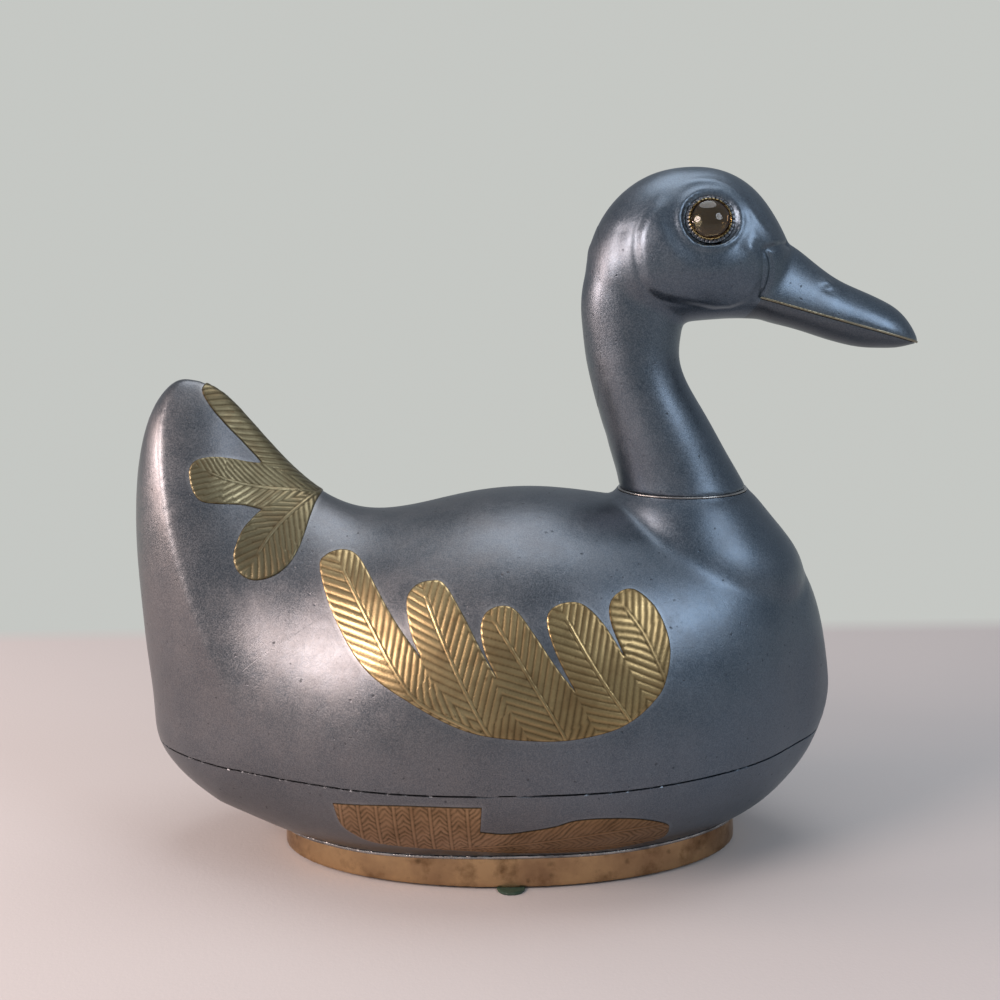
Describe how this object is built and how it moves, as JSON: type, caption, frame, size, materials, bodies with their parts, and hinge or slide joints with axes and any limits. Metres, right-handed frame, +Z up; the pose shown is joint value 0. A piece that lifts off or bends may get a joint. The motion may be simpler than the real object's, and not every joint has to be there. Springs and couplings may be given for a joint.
{
  "type": "lidded duck box",
  "caption": "Lidded box in the shape of a duck: pewter bowl, lid, neck, head and bill, with a brass foot ring, brass feather plates and glass eyes.",
  "frame": {"origin": "centre of the footprint of the whole box, on the surface that it stands on", "axes": "+X towards the bill, +Y towards the duck's left, +Z up"},
  "size_m": [0.2811, 0.135, 0.246],
  "materials": {
    "pewter": "satin pewter with a dark blue-grey patina",
    "foot_brass": "tarnished brass with brown blotches",
    "plate_brass": "etched sheet brass, lightly tarnished",
    "solder": "bright rubbed solder",
    "felt": "green felt",
    "eye_brass": "dull greenish brass",
    "eye_glass": "clear amber glass over a dark pupil"
  },
  "bodies": {
    "base": {"base_bowl": "pewter", "base_locating_band": "pewter", "foot_ring": "foot_brass", "foot_solder_bead": "solder", "felt_pads": "felt", "leg_plate_right": "plate_brass", "leg_plate_left": "plate_brass"},
    "lid": {"lid_shell": "pewter", "wing_plate_right": "plate_brass", "wing_plate_left": "plate_brass", "tail_fan_plate": "plate_brass", "neck_solder_bead": "solder", "neck_shell": "pewter", "upper_bill": "pewter", "lower_bill": "pewter", "bill_strip": "plate_brass", "eye_cup_right": "eye_brass", "eye_cup_left": "eye_brass", "eye_glass_right": "eye_glass", "eye_glass_left": "eye_glass"}
  },
  "joints": [
    {"name": "lid_lift", "type": "slide", "parent": "base", "child": "lid", "axis": [0, 0, 1], "range_m": [0, 0.12]}
  ]
}
